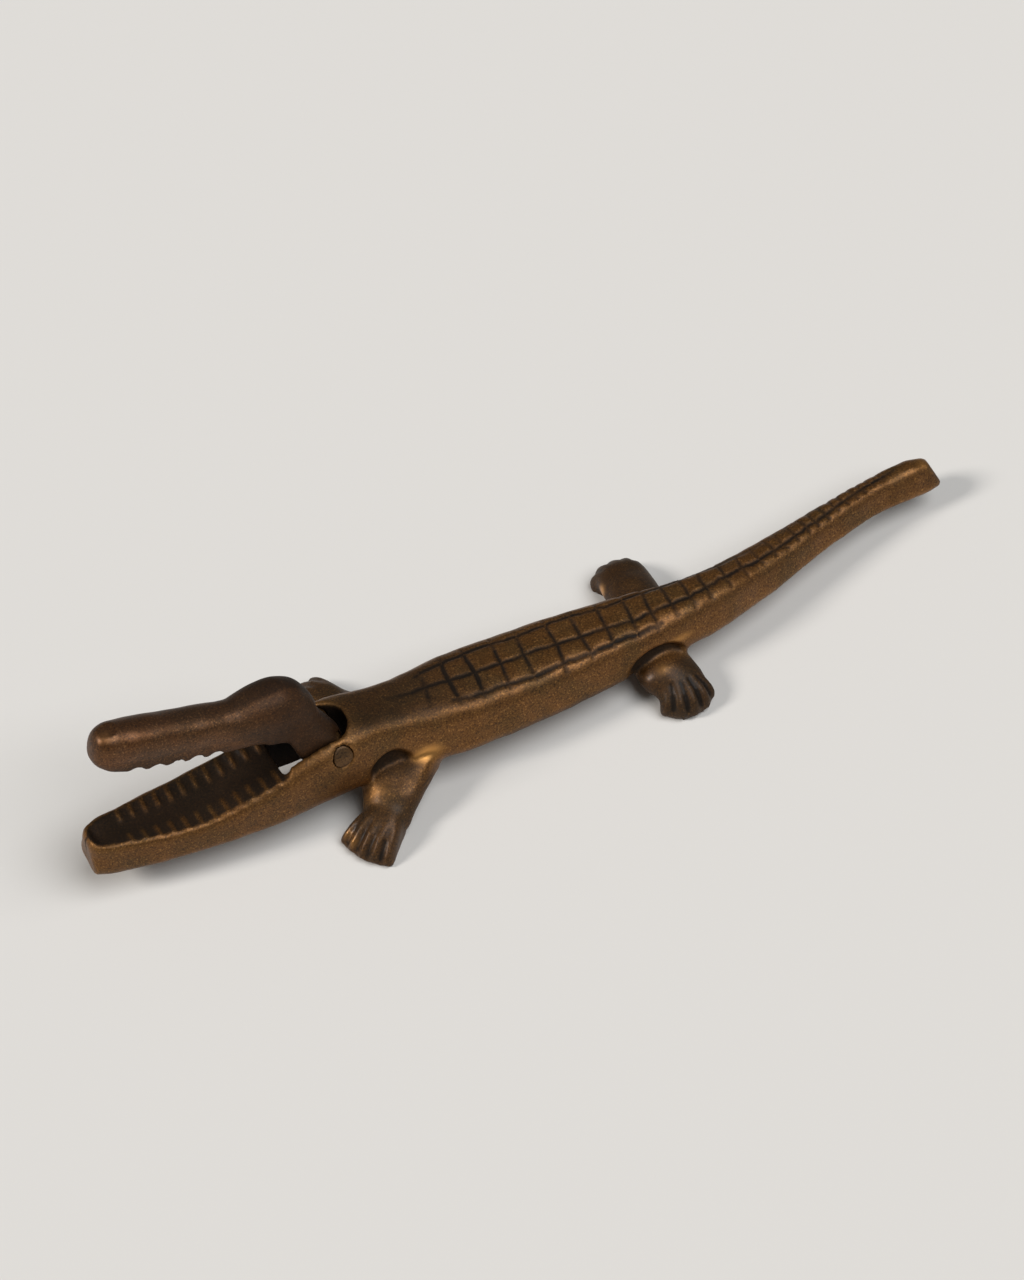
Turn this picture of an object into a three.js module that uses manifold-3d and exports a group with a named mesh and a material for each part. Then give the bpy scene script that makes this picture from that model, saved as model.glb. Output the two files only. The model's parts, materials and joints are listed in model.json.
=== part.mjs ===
// Crocodile nutcracker: a cast body, a hinged upper jaw, and the pin that joins them.
// Millimetres. The animal looks towards -X and stands on Z = 0. Its right side is +Y.

import * as THREE from "three";
import { mergeVertices } from "three/addons/utils/BufferGeometryUtils.js";
import Module from "manifold-3d";

const wasm = await Module();
wasm.setup();

// Lengths along the animal, from the pivot pin to the snout, the tail root and the tail end
const PIVOT_X = -60.5;
const JAW_LENGTH = 64;
const TRUNK_LENGTH = 107.5;
const TAIL_LENGTH = 77.5;

// Heights above the table
const PIVOT_Z = 23.8;
const JAW_BASE_Z = 8.8;
const RIM_Z = 19;
const CHEEK_TOP_Z = 28.2;
const NECK_TOP_Z = 26.6;
const BACK_Z = 24.2;
const BELLY_Z = 8;
const TAIL_ROOT_TOP_Z = 20;
const TAIL_END_TOP_Z = 14.4;
const TAIL_END_BASE_Z = 6.8;

// Half widths: low on the sides, and high at the rim or at the edge of the back
const JAW_HALF_LOW = 10;
const JAW_HALF_HIGH = 8.8;
const CHEEK_HALF_LOW = 11.4;
const CHEEK_HALF_HIGH = 9.4;
const TORSO_HALF_LOW = 14;
const TORSO_HALF_HIGH = 9.8;
const TAIL_ROOT_HALF_LOW = 9;
const TAIL_ROOT_HALF_HIGH = 5.2;
const TAIL_END_HALF_LOW = 5.2;
const TAIL_END_HALF_HIGH = 1.7;
const SNOUT_SWING = 1;
const TAIL_SWING = 14.2;
const TAIL_END_SLANT = 3;
const TAIL_END_ROUND = 0.6;

// How square the shoulders are, along the back and along the tail
const BACK_SQUARE = 4.2;
const TAIL_SQUARE = 4;

// Mouth of the lower jaw
const RIM_WALL = 1.1;
const SNOUT_WALL = 1.7;
const SNOUT_POCKET = 7.8;
const TROUGH_DEPTH = 2.2;
const TROUGH_EDGE_DEPTH = 1;
const GROOVE_HALF = 0.9;
const TOOTH_PITCH = 3.4;
const TOOTH_HEIGHT = 0.9;
const TOOTH_WIDTH = 2;
const TOOTH_ROOT = 0.6;
const TOOTH_REACH = 0.7;

// Hinge
const PIN_DIAMETER = 4.6;
const PIN_CHAMFER = 0.4;
const PIN_PROUD = 0.1;
const PIN_CLEARANCE = 0.3;
const SLOT_WIDTH = 12;
const SLOT_FRONT_REACH = 14.5;
const SLOT_REAR_REACH = 4.9;
const LUG_SIDE_CLEARANCE = 0.4;
const LUG_FRONT_REACH = 8.7;
const LUG_DROP = 5.5;
const LUG_EDGE_ROUND = 1.2;
const KNUCKLE_RADIUS = 4.5;
const KNUCKLE_AHEAD = 1;
const KNUCKLE_BELOW = 0.9;
const MOUTH_TILT = THREE.MathUtils.degToRad(16.8);

// Upper jaw, measured from the pivot while its underside is level
const OVERBITE = 1.5;
const UPPER_BASE = 5;
const UPPER_DEPTH = 11;
const UPPER_HALF_LOW = 5.4;
const UPPER_HALF_HIGH = 4.8;
const BROW_REACH = 18.2;
const BROW_RISE = 4;
const BROW_HALF = 6.2;
const NOTCH_COUNT = 5;
const NOTCH_PITCH = 5.2;
const NOTCH_DEPTH = 1.5;
const NOTCH_RADIUS = 2.2;
const NOTCH_START = 54.6;

// Legs: heights, half widths along the body and half depths, each at the hip, the knee and the ankle
const LEFT = -1;
const RIGHT = 1;
const FRONT_LIMB = {
  heights: [9.6, 8.4, 4.2],
  halfWidths: [11.5, 8.1, 6],
  halfDepths: [4.6, 4.6, 3.6],
  heelHalf: 4.4,
  toeReach: 13.4,
  toeSpread: 35,
};
const HIND_LIMB = {
  heights: [7, 6.4, 4.8],
  halfWidths: [6.9, 7.5, 7],
  halfDepths: [3.6, 4.6, 4.4],
  heelHalf: 5,
  toeReach: 8.5,
  toeSpread: 64,
};

// Feet: a fan of toes that sinks from the heel to the tips
const HEEL_HEIGHT = 9;
const TOE_HEIGHT = 3.2;
const TOE_GROOVE = 1.6;
const TOE_GROOVE_START = 0.35;
const TOE_BULGE = 0.8;
const TOE_COUNT = 5;

// How each leg stands: its hip, knee and heel as shares of the trunk behind the pivot, the heel's place
// to the side, and how many degrees the toes turn out from straight ahead
const STANCE = [
  { side: LEFT, limb: FRONT_LIMB, hip: 0.148, knee: 0.108, heel: 0.083, heelOut: 16.1, toesOut: 29 },
  { side: RIGHT, limb: FRONT_LIMB, hip: 0.15, knee: 0.121, heel: 0.111, heelOut: 19.4, toesOut: 56 },
  { side: LEFT, limb: HIND_LIMB, hip: 0.825, knee: 0.838, heel: 0.851, heelOut: 14, toesOut: 90 },
  { side: RIGHT, limb: HIND_LIMB, hip: 0.856, knee: 0.878, heel: 0.891, heelOut: 22.2, toesOut: 94 },
];

// Smoothness of the casting
const SECTION_SIDES = 28;
const LIMB_SIDES = 16;
const PIN_SIDES = 24;
const BODY_STEP = 5;
const JAW_STEP = 4;

const SNOUT_X = PIVOT_X - JAW_LENGTH;
const TAIL_ROOT_X = PIVOT_X + TRUNK_LENGTH;
const SLOT_HALF = SLOT_WIDTH / 2;
const SLOT_FRONT_X = PIVOT_X - SLOT_FRONT_REACH;
const BORE_RADIUS = PIN_DIAMETER / 2 + PIN_CLEARANCE;

// A closed skin over a row of rings, each ring turning the same way about the line of travel.
function loft(rings) {
  const count = rings[0].length;
  const points = rings.flat();
  const triangles = [];
  for (let ring = 0; ring + 1 < rings.length; ring += 1) {
    for (let i = 0; i < count; i += 1) {
      const a = ring * count + i;
      const b = ring * count + ((i + 1) % count);
      triangles.push(a, b, a + count, b, b + count, a + count);
    }
  }
  const lastStart = (rings.length - 1) * count;
  const firstCentre = points.push(centreOf(rings[0])) - 1;
  const lastCentre = points.push(centreOf(rings.at(-1))) - 1;
  for (let i = 0; i < count; i += 1) {
    const next = (i + 1) % count;
    triangles.push(firstCentre, next, i);
    triangles.push(lastCentre, lastStart + i, lastStart + next);
  }
  const geometry = new THREE.BufferGeometry().setFromPoints(points);
  geometry.setIndex(triangles);
  return geometry;
}

function centreOf(ring) {
  const sum = ring.reduce((total, point) => total.add(point), new THREE.Vector3());
  return sum.divideScalar(ring.length);
}

// The same shape on the other side of the animal, with its faces turned back outwards.
function mirrored(geometry) {
  const copy = geometry.clone().scale(1, -1, 1);
  const index = copy.index.array;
  for (let i = 0; i < index.length; i += 3) {
    [index[i], index[i + 1]] = [index[i + 1], index[i]];
  }
  return copy;
}

function solidOf(geometry) {
  const bare = geometry.clone();
  bare.deleteAttribute("normal");
  bare.deleteAttribute("uv");
  const merged = mergeVertices(bare);
  const vertProperties = new Float32Array(merged.attributes.position.array);
  const triVerts = new Uint32Array(merged.index.array);
  return new wasm.Manifold(new wasm.Mesh({ numProp: 3, vertProperties, triVerts }));
}

function geometryOf(solid) {
  const { vertProperties, triVerts } = solid.getMesh();
  const geometry = new THREE.BufferGeometry();
  geometry.setAttribute("position", new THREE.BufferAttribute(vertProperties, 3));
  geometry.setIndex(new THREE.BufferAttribute(triVerts, 1));
  geometry.computeVertexNormals();
  return geometry;
}

// A rounded cross-section. Its half width changes evenly from low to high. Its corners are the sharper
// the larger its squareness is above, and its keel below. A slant leans the upper edge forward.
function sectionRing(at) {
  const ring = [];
  const middle = (at.top + at.base) / 2;
  const halfHeight = (at.top - at.base) / 2;
  for (let i = 0; i < SECTION_SIDES; i += 1) {
    const angle = (i / SECTION_SIDES) * 2 * Math.PI;
    const square = Math.sin(angle) < 0 ? at.keel : at.square;
    const across = squared(Math.cos(angle), square);
    const rise = squared(Math.sin(angle), square);
    const half = THREE.MathUtils.lerp(at.low, at.high, (rise + 1) / 2);
    const x = at.x - (at.slant * rise) / 2;
    ring.push(new THREE.Vector3(x, at.side + across * half, middle + rise * halfHeight));
  }
  return ring;
}

function squared(value, square) {
  return Math.sign(value) * Math.abs(value) ** (2 / square);
}

function halfWidthAt(at, z) {
  const rise = (2 * z - at.top - at.base) / (at.top - at.base);
  const square = rise < 0 ? at.keel : at.square;
  const across = (1 - Math.abs(rise) ** square) ** (1 / square);
  return across * THREE.MathUtils.lerp(at.low, at.high, (rise + 1) / 2);
}

// A smooth change of every measure from one hand-set station to the next.
const MEASURES = ["x", "side", "base", "top", "low", "high", "square", "keel", "slant"];

function smoothStations(stations) {
  const places = stations.map((station) => station.x);
  const full = stations.map((station) => ({ side: 0, slant: 0, keel: station.square, ...station }));
  const values = full.flatMap((station) => MEASURES.map((measure) => station[measure]));
  const curve = new THREE.CubicInterpolant(places, values, MEASURES.length);
  return (x) => {
    const found = curve.evaluate(x);
    return Object.fromEntries(MEASURES.map((measure, i) => [measure, found[i]]));
  };
}

function loftStations(stations, stepLength) {
  const stationAt = smoothStations(stations);
  const rings = [sectionRing(stationAt(stations[0].x))];
  for (let i = 0; i + 1 < stations.length; i += 1) {
    const start = stations[i].x;
    const end = stations[i + 1].x;
    const steps = Math.max(1, Math.round((end - start) / stepLength));
    for (let step = 1; step <= steps; step += 1) {
      rings.push(sectionRing(stationAt(THREE.MathUtils.lerp(start, end, step / steps))));
    }
  }
  return loft(rings);
}

// Stations of the body casting from snout to tail end. The tail swings over to the right.
const jawX = (share) => PIVOT_X - JAW_LENGTH * share;
const trunkX = (share) => PIVOT_X + TRUNK_LENGTH * share;
const tailX = (share) => TAIL_ROOT_X + TAIL_LENGTH * share;
const taper = (share, start, end) => THREE.MathUtils.lerp(start, end, share);

// Rise and drop are shares of the depth of the lower jaw, low and high shares of its half widths.
function snoutStation(share, rise, drop, low, high, square) {
  return {
    x: jawX(share),
    side: SNOUT_SWING * share,
    base: taper(rise, JAW_BASE_Z, RIM_Z),
    top: taper(drop, RIM_Z, JAW_BASE_Z),
    low: JAW_HALF_LOW * low,
    high: JAW_HALF_HIGH * high,
    square,
  };
}

const snoutStations = [
  snoutStation(1, 0.12, 0, 0.3, 0.27, 3.6),
  snoutStation(0.98, 0.03, -0.12, 0.49, 0.455, 4),
  snoutStation(0.93, 0, -0.147, 0.63, 0.6, 4.4),
  snoutStation(0.82, 0, -0.07, 0.79, 0.76, 5),
  snoutStation(0.59, 0, 0, 1, 1, 5),
];

const headStations = [
  {
    x: jawX(0.3),
    base: JAW_BASE_Z * 0.98,
    top: taper(0.4, RIM_Z, CHEEK_TOP_Z),
    low: taper(0.8, JAW_HALF_LOW, CHEEK_HALF_LOW),
    high: taper(0.8, JAW_HALF_HIGH, CHEEK_HALF_HIGH),
    square: 5,
  },
  {
    x: jawX(0),
    base: JAW_BASE_Z,
    top: CHEEK_TOP_Z,
    low: CHEEK_HALF_LOW,
    high: CHEEK_HALF_HIGH,
    square: 4,
  },
  {
    x: trunkX(0.12),
    base: taper(0.3, JAW_BASE_Z, BELLY_Z),
    top: NECK_TOP_Z,
    low: taper(0.2, CHEEK_HALF_LOW, TORSO_HALF_LOW),
    high: CHEEK_HALF_HIGH * 0.83,
    square: BACK_SQUARE,
  },
  {
    x: trunkX(0.2),
    base: taper(0.6, JAW_BASE_Z, BELLY_Z),
    top: taper(0.6, NECK_TOP_Z, BACK_Z),
    low: taper(0.4, CHEEK_HALF_LOW, TORSO_HALF_LOW),
    high: CHEEK_HALF_HIGH * 0.87,
    square: BACK_SQUARE,
  },
];

const torsoStations = [
  {
    x: trunkX(0.33),
    base: BELLY_Z * 1.075,
    top: BACK_Z,
    low: TORSO_HALF_LOW,
    high: TORSO_HALF_HIGH,
    square: BACK_SQUARE,
  },
  {
    x: trunkX(0.54),
    base: BELLY_Z,
    top: taper(0.43, BACK_Z, TAIL_ROOT_TOP_Z),
    low: taper(0.12, TORSO_HALF_LOW, TAIL_ROOT_HALF_LOW),
    high: taper(0.14, TORSO_HALF_HIGH, TAIL_ROOT_HALF_HIGH),
    square: BACK_SQUARE,
  },
  {
    x: trunkX(0.72),
    base: BELLY_Z,
    top: taper(0.72, BACK_Z, TAIL_ROOT_TOP_Z),
    low: taper(0.45, TORSO_HALF_LOW, TAIL_ROOT_HALF_LOW),
    high: taper(0.42, TORSO_HALF_HIGH, TAIL_ROOT_HALF_HIGH),
    square: BACK_SQUARE,
  },
];

function tailStation(share, swing, slant, shrink) {
  return {
    x: tailX(share),
    side: TAIL_SWING * swing,
    base: taper(share, BELLY_Z * 1.075, TAIL_END_BASE_Z) + shrink,
    top: taper(Math.sqrt(share), TAIL_ROOT_TOP_Z, TAIL_END_TOP_Z) - shrink,
    low: taper(share, TAIL_ROOT_HALF_LOW, TAIL_END_HALF_LOW) - shrink,
    high: taper(share, TAIL_ROOT_HALF_HIGH, TAIL_END_HALF_HIGH) - shrink,
    square: TAIL_SQUARE,
    slant,
  };
}

const tailStations = [
  tailStation(0, 0.03, 0, 0),
  tailStation(0.23, 0.31, 0, 0),
  tailStation(0.56, 0.74, 0, 0),
  tailStation(0.79, 0.98, 0, 0),
  tailStation(0.97, 1, TAIL_END_SLANT, 0),
  tailStation(0.985, 1, TAIL_END_SLANT, TAIL_END_ROUND),
];

const spine = [...snoutStations, ...headStations, ...torsoStations, ...tailStations];
const spineAt = smoothStations(spine);

// The trough of the lower jaw: a step down inside the rim, then a shallow V to a flat groove.
const TROUGH_OPEN_Z = CHEEK_TOP_Z * 1.15;

function troughAt(x) {
  const at = spineAt(x);
  const half = at.high - RIM_WALL;
  return {
    middle: at.side,
    half,
    groove: Math.min(GROOVE_HALF, half / 2),
    floorZ: at.top - TROUGH_DEPTH,
    edgeZ: at.top - TROUGH_EDGE_DEPTH,
  };
}

function troughSolid() {
  const rings = [];
  const start = SNOUT_X + SNOUT_WALL;
  const steps = 12;
  for (let step = 0; step <= steps; step += 1) {
    const x = THREE.MathUtils.lerp(start, SLOT_FRONT_X + RIM_WALL, step / steps);
    const { middle, half, groove, floorZ, edgeZ } = troughAt(x);
    const outline = [
      [half, TROUGH_OPEN_Z],
      [-half, TROUGH_OPEN_Z],
      [-half, edgeZ],
      [-groove, floorZ],
      [groove, floorZ],
      [half, edgeZ],
    ];
    rings.push(outline.map(([y, z]) => new THREE.Vector3(x, middle + y, z)));
  }
  return solidOf(loft(rings));
}

// A pair of tooth ribs: ridges from each wall part of the way down the sloping floor, where they die out.
function toothRibs(x) {
  const { middle, half, groove, floorZ, edgeZ } = troughAt(x);
  const wall = new THREE.Vector3(x, half, edgeZ);
  const foot = new THREE.Vector3(x, groove, floorZ);
  const outer = foot.clone().lerp(wall, 1 + RIM_WALL / 3 / half);
  const inner = wall.clone().lerp(foot, TOOTH_REACH);
  const along = inner.clone().sub(outer).normalize();
  const up = new THREE.Vector3(1, 0, 0).cross(along).negate();
  const ringAt = (end, height) => [
    end.clone().addScaledVector(up, -TOOTH_ROOT).add(new THREE.Vector3(TOOTH_WIDTH / 2, 0, 0)),
    end.clone().addScaledVector(up, height),
    end.clone().addScaledVector(up, -TOOTH_ROOT).add(new THREE.Vector3(-TOOTH_WIDTH / 2, 0, 0)),
  ];
  const rib = loft([ringAt(outer, TOOTH_HEIGHT), ringAt(inner, 0)]);
  return [rib, mirrored(rib)].map((shape) => shape.translate(0, middle, 0));
}

// The slot right through the head for the hinge lug, with a round end at the neck.
function slotSolid() {
  const roundX = PIVOT_X + SLOT_REAR_REACH - SLOT_HALF;
  const outline = new THREE.Shape();
  outline.moveTo(SLOT_FRONT_X, -SLOT_HALF);
  outline.lineTo(roundX, -SLOT_HALF);
  outline.absarc(roundX, 0, SLOT_HALF, -Math.PI / 2, Math.PI / 2, false);
  outline.lineTo(SLOT_FRONT_X, SLOT_HALF);
  outline.closePath();
  const options = { depth: TROUGH_OPEN_Z, bevelEnabled: false, curveSegments: 8 };
  return solidOf(new THREE.ExtrudeGeometry(outline, options));
}

// A limb: round sections about a curve, wide along the body and lower across it, with a round end.
const LIMB_PLACES = [0, 0.15, 0.3, 0.45, 0.6, 0.75, 0.88, 1];
const LIMB_END = [0.4, 0.7, 0.9, 0.98];

function limb(centres, halfWidths, halfDepths) {
  const curve = new THREE.CatmullRomCurve3(centres);
  const ringAt = (place, beyond) => {
    const along = curve.getTangent(place);
    const across = new THREE.Vector3(0, 0, 1).cross(along).normalize();
    const lift = along.clone().cross(across);
    const halfDepth = between(halfDepths, place);
    const centre = curve.getPoint(place).addScaledVector(along, halfDepth * beyond);
    const shrink = Math.sqrt(1 - beyond ** 2);
    const ring = [];
    for (let i = 0; i < LIMB_SIDES; i += 1) {
      const angle = (i / LIMB_SIDES) * 2 * Math.PI;
      const point = centre.clone();
      point.addScaledVector(across, Math.cos(angle) * between(halfWidths, place) * shrink);
      point.addScaledVector(lift, Math.sin(angle) * halfDepth * shrink);
      ring.push(point);
    }
    return ring;
  };
  return loft([
    ...LIMB_PLACES.map((place) => ringAt(place, 0)),
    ...LIMB_END.map((beyond) => ringAt(1, beyond)),
  ]);
}

function between(values, place) {
  const position = place * (values.length - 1);
  const index = Math.min(Math.floor(position), values.length - 2);
  return THREE.MathUtils.lerp(values[index], values[index + 1], position - index);
}

// A foot: a fan that spreads and sinks from the broad heel, with creases between its toes.
const FOOT_RINGS = [0.05, 0.3, 0.5, 0.68, 0.82, 0.93, 1];
const FOOT_DEPTHS = [1, 0.96, 0.86, 0.68, 0.44, 0.18, 0];
const TOE_TIP_SHARE = 0.5;
const TOE_STEPS = 4;
const FOOT_EDGE_DROP = 0.35;

function toeAngle(leg, fan) {
  return THREE.MathUtils.degToRad(180 - leg.toesOut + leg.limb.toeSpread * fan);
}

function foot(leg) {
  const count = TOE_COUNT * TOE_STEPS;
  const rings = FOOT_RINGS.map((place, ringIndex) => {
    const thin = place === 1 ? TOE_TIP_SHARE : 1;
    const cut = (TOE_GROOVE * Math.max(0, place - TOE_GROOVE_START)) / (1 - TOE_GROOVE_START);
    const height = THREE.MathUtils.lerp(TOE_HEIGHT, HEEL_HEIGHT, FOOT_DEPTHS[ringIndex]) * thin;
    const pointAt = (fan, z, bulge) => {
      const angle = toeAngle(leg, fan);
      const reach = leg.limb.toeReach + TOE_BULGE * bulge;
      const ahead = toeAngle(leg, 0);
      const heel = new THREE.Vector3(-Math.sin(ahead), Math.cos(ahead), 0);
      heel.multiplyScalar(leg.limb.heelHalf * fan);
      const tip = new THREE.Vector3(Math.cos(angle), Math.sin(angle), 0).multiplyScalar(reach);
      return heel.lerp(tip, place).add(new THREE.Vector3(trunkX(leg.heel), leg.heelOut, z));
    };
    const ring = [];
    for (let i = 0; i <= count; i += 1) {
      const fan = 1 - (2 * i) / count;
      const bulge = Math.abs(Math.sin((fan + 1) * (TOE_COUNT / 2) * Math.PI));
      const crease = cut * thin * (1 - bulge);
      ring.push(pointAt(fan, height * (1 - FOOT_EDGE_DROP * fan ** 4) - crease, bulge));
    }
    for (let i = 0; i <= count; i += TOE_STEPS) {
      ring.push(pointAt((2 * i) / count - 1, 0, 0));
    }
    return ring;
  });
  return loft(rings);
}

// A leg: a limb from inside the body out over the knee and down to the ankle, and its foot. It is
// shaped on the right side and turned over for the left.
const ANKLE_SHARE = 0.15;

function legShapes(leg) {
  const [hipZ, kneeZ, ankleZ] = leg.limb.heights;
  const bodyHalf = halfWidthAt(spineAt(trunkX(leg.hip)), hipZ * 1.3);
  const ankleReach = leg.limb.toeReach * ANKLE_SHARE;
  const hip = new THREE.Vector3(trunkX(leg.hip), bodyHalf / 2, hipZ);
  const ankle = new THREE.Vector3(trunkX(leg.heel), leg.heelOut, ankleZ);
  ankle.x += Math.cos(toeAngle(leg, 0)) * ankleReach;
  ankle.y += Math.sin(toeAngle(leg, 0)) * ankleReach;
  const kneeY = THREE.MathUtils.lerp(bodyHalf, ankle.y, 0.15);
  const knee = new THREE.Vector3(trunkX(leg.knee), kneeY, kneeZ);
  const shapes = [limb([hip, knee, ankle], leg.limb.halfWidths, leg.limb.halfDepths), foot(leg)];
  return leg.side === LEFT ? shapes.map(mirrored) : shapes;
}

// Everything below the table is cut away, so the four soles are flat.
function underTable() {
  const size = 2 * (JAW_LENGTH + TRUNK_LENGTH + TAIL_LENGTH);
  return solidOf(new THREE.BoxGeometry(size, size, size).translate(0, 0, -size / 2));
}

function pivotBore(length) {
  return new THREE.CylinderGeometry(BORE_RADIUS, BORE_RADIUS, length, PIN_SIDES);
}

function bodyCasting() {
  let casting = solidOf(loftStations(spine, BODY_STEP));
  casting = casting.subtract(troughSolid());
  for (let x = SNOUT_X + SNOUT_WALL + SNOUT_POCKET; x < SLOT_FRONT_X - TOOTH_WIDTH; x += TOOTH_PITCH) {
    for (const rib of toothRibs(x)) {
      casting = casting.add(solidOf(rib));
    }
  }
  casting = casting.subtract(slotSolid());
  for (const shape of STANCE.flatMap(legShapes)) {
    casting = casting.add(solidOf(shape));
  }
  const bore = pivotBore(4 * CHEEK_HALF_LOW).translate(PIVOT_X, 0, PIVOT_Z);
  return casting.subtract(underTable()).subtract(solidOf(bore));
}

// The upper jaw in its own frame: pivot at the origin, underside level, snout towards -X.
const UPPER_LENGTH = JAW_LENGTH + OVERBITE;
const UPPER_TOP = UPPER_BASE + UPPER_DEPTH;
const LUG_HALF = SLOT_HALF - LUG_SIDE_CLEARANCE;
const KNUCKLE_TOP = UPPER_BASE + UPPER_DEPTH * 0.4;
const KNUCKLE_REACH = BROW_REACH * 0.66;
const SNOUT_MIDDLE = THREE.MathUtils.lerp(BROW_REACH * 1.6, UPPER_LENGTH * 0.86, 0.25);

// Rise and drop are shares of the depth of the upper jaw.
function upperStation(x, rise, drop, low, high, square, keel) {
  const base = UPPER_BASE + UPPER_DEPTH * rise;
  return { x, base, top: UPPER_TOP - UPPER_DEPTH * drop, low, high, square, keel };
}

function upperSnout(reach, rise, drop, width, square, keel) {
  return upperStation(-reach, rise, drop, UPPER_HALF_LOW * width, UPPER_HALF_HIGH * width, square, keel);
}

function brow(share, rise, swell, width) {
  const drop = (-BROW_RISE / UPPER_DEPTH) * swell;
  return upperStation(-BROW_REACH * share, rise, drop, BROW_HALF * width, BROW_HALF * width * 0.94, 2.3, 3);
}

const upperStations = [
  upperSnout(UPPER_LENGTH, 0.27, 0.31, 0.33, 2.3, 2.6),
  upperSnout(UPPER_LENGTH * 0.985, 0.11, 0.11, 0.68, 2.3, 3),
  upperSnout(UPPER_LENGTH * 0.94, 0, 0, 0.93, 2.3, 4),
  upperSnout(UPPER_LENGTH * 0.86, 0, 0, 1, 2.3, 9),
  upperSnout(SNOUT_MIDDLE, 0, 0.05, 1, 2.3, 9),
  upperSnout(BROW_REACH * 1.6, -0.03, 0.03, 1, 2.3, 5),
  brow(1.3, -0.07, 0.6, 0.95),
  brow(1, -0.14, 1, 1),
  brow(0.75, -0.22, 0.72, 0.97),
  brow(0.55, -0.27, -0.05, 0.9),
  brow(0.4, -0.27, -0.85, 0.78),
];

// The front of the hinge lug, flat between the cheeks, from the brow down to the pin.
function lugSolid() {
  const outline = new THREE.Shape();
  outline.moveTo(-1.1 * BROW_REACH, UPPER_BASE);
  outline.lineTo(-0.8 * BROW_REACH, UPPER_BASE);
  outline.lineTo(-LUG_FRONT_REACH, -LUG_DROP / 2);
  outline.quadraticCurveTo(-LUG_FRONT_REACH / 2, -LUG_DROP, 0, -LUG_DROP);
  outline.lineTo(0, LUG_DROP / 2);
  outline.lineTo(-KNUCKLE_REACH, KNUCKLE_TOP);
  outline.lineTo(-1.1 * BROW_REACH, KNUCKLE_TOP);
  outline.closePath();
  const geometry = new THREE.ExtrudeGeometry(outline, {
    depth: 2 * (LUG_HALF - LUG_EDGE_ROUND),
    bevelThickness: LUG_EDGE_ROUND,
    bevelSize: LUG_EDGE_ROUND,
    bevelOffset: -LUG_EDGE_ROUND,
    bevelSegments: 3,
    curveSegments: 6,
  });
  geometry.translate(0, 0, LUG_EDGE_ROUND - LUG_HALF);
  geometry.rotateX(Math.PI / 2);
  return solidOf(geometry);
}

// The knuckle: a round arm from inside the brow down to the pin, with a ball end that turns in the slot.
function knuckleSolid() {
  const top = new THREE.Vector3(-KNUCKLE_REACH, 0, KNUCKLE_TOP);
  const ball = new THREE.Vector3(-KNUCKLE_AHEAD, 0, -KNUCKLE_BELOW);
  const centres = [top, top.clone().lerp(ball, 0.5), ball];
  const depths = [UPPER_DEPTH / 2, KNUCKLE_RADIUS, KNUCKLE_RADIUS];
  return solidOf(limb(centres, [LUG_HALF, LUG_HALF, LUG_HALF], depths));
}

function upperJaw() {
  let jaw = solidOf(loftStations(upperStations, JAW_STEP));
  jaw = jaw.add(lugSolid()).add(knuckleSolid());
  for (let i = 0; i < NOTCH_COUNT; i += 1) {
    const notch = new THREE.CylinderGeometry(NOTCH_RADIUS, NOTCH_RADIUS, 4 * BROW_HALF, PIN_SIDES);
    notch.translate(NOTCH_PITCH * i - NOTCH_START, 0, UPPER_BASE + NOTCH_DEPTH - NOTCH_RADIUS);
    jaw = jaw.subtract(solidOf(notch));
  }
  return jaw.subtract(solidOf(pivotBore(4 * LUG_HALF)));
}

// A plain round pin, flush with both cheeks and broken at its ends.
function pivotPin() {
  const radius = PIN_DIAMETER / 2;
  const halfLength = halfWidthAt(spineAt(PIVOT_X), PIVOT_Z) + PIN_PROUD;
  const profile = [
    new THREE.Vector2(0, -halfLength),
    new THREE.Vector2(radius - PIN_CHAMFER, -halfLength),
    new THREE.Vector2(radius, PIN_CHAMFER - halfLength),
    new THREE.Vector2(radius, halfLength - PIN_CHAMFER),
    new THREE.Vector2(radius - PIN_CHAMFER, halfLength),
    new THREE.Vector2(0, halfLength),
  ];
  return solidOf(new THREE.LatheGeometry(profile, PIN_SIDES));
}

// Dark brown patinated brass, redder on the upper jaw and darker on the pin.
function metal(color, roughness) {
  return new THREE.MeshStandardMaterial({ color, roughness, metalness: 1 });
}

function named(name, solid, material) {
  const mesh = new THREE.Mesh(geometryOf(solid), material);
  mesh.name = name;
  return mesh;
}

const part = new THREE.Group();
part.add(named("body_casting", bodyCasting(), metal(0x6a4a28, 0.45)));

const hinge = new THREE.Group();
hinge.position.set(PIVOT_X, 0, PIVOT_Z);
hinge.add(named("pivot_pin", pivotPin(), metal(0x4a3626, 0.55)));
part.add(hinge);

const openJaw = new THREE.Group();
openJaw.rotation.y = MOUTH_TILT;
openJaw.add(named("upper_jaw", upperJaw(), metal(0x5e3d26, 0.42)));
hinge.add(openJaw);

// The origin is on the table, under the middle of the part.
const middle = new THREE.Box3().setFromObject(part, true).getCenter(new THREE.Vector3());
part.position.set(-middle.x, -middle.y, 0);

export default part;
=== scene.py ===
import json

import bmesh
import bpy
import numpy as np
from mathutils import Matrix, Vector


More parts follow.
